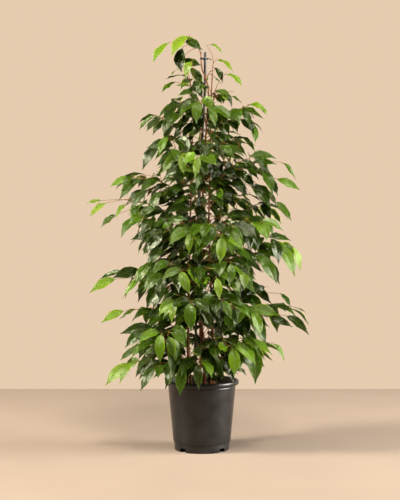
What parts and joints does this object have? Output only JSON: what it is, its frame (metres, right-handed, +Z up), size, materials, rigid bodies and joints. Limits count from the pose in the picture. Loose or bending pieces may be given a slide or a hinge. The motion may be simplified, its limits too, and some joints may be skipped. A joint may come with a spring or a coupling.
{
  "type": "potted weeping fig",
  "caption": "Bushy weeping fig with slender stems tied to a cane, arching twigs of pointed glossy leaves, in a round black nursery pot of soil.",
  "frame": {"origin": "on the floor under the middle of the pot, which is the bottom centre of the bounding box", "axes": "+Z up along the stems; -Y is the front that the picture shows, +X to its right"},
  "size_m": [0.649, 0.4576, 1.1715],
  "materials": {
    "pot": "matt black moulded plastic with fine turn lines",
    "soil": "rough, of bark chips and peat",
    "cane": "semi-gloss black coating",
    "tie": "satin dark plastic",
    "bark": "smooth reddish-brown bark, tan on young twigs",
    "leaf": "glossy dark green, paler below, lime green when young"
  },
  "bodies": {
    "root": {"pot": "pot", "soil": "soil", "cane": "cane", "stem_leader": "bark", "stem_right": "bark", "stem_left": "bark", "stem_back": "bark", "tie_1": "tie", "tie_2": "tie", "tie_3": "tie", "tie_4": "tie", "tie_5": "tie", "branch_01": "leaf", "branch_02": "leaf", "branch_03": "leaf", "branch_04": "leaf", "branch_05": "leaf", "branch_06": "leaf", "branch_07": "leaf", "branch_08": "leaf", "branch_09": "leaf", "branch_10": "leaf", "branch_11": "leaf", "branch_12": "leaf", "branch_13": "leaf", "branch_14": "leaf", "branch_15": "leaf", "branch_16": "leaf", "branch_17": "leaf", "branch_18": "leaf", "branch_19": "leaf", "branch_20": "leaf", "branch_21": "leaf", "branch_22": "leaf", "branch_23": "leaf", "branch_24": "leaf", "branch_25": "leaf", "branch_26": "leaf", "branch_27": "leaf", "branch_28": "leaf", "branch_29": "leaf", "branch_30": "leaf", "branch_31": "leaf", "branch_32": "leaf", "branch_33": "leaf", "branch_34": "leaf", "branch_35": "leaf", "branch_36": "leaf", "branch_37": "leaf", "branch_38": "leaf", "branch_39": "leaf", "branch_40": "leaf", "branch_41": "leaf", "branch_42": "leaf", "branch_43": "leaf", "branch_44": "leaf", "branch_45": "leaf", "branch_46": "leaf", "branch_47": "leaf", "branch_48": "leaf"}
  },
  "joints": []
}
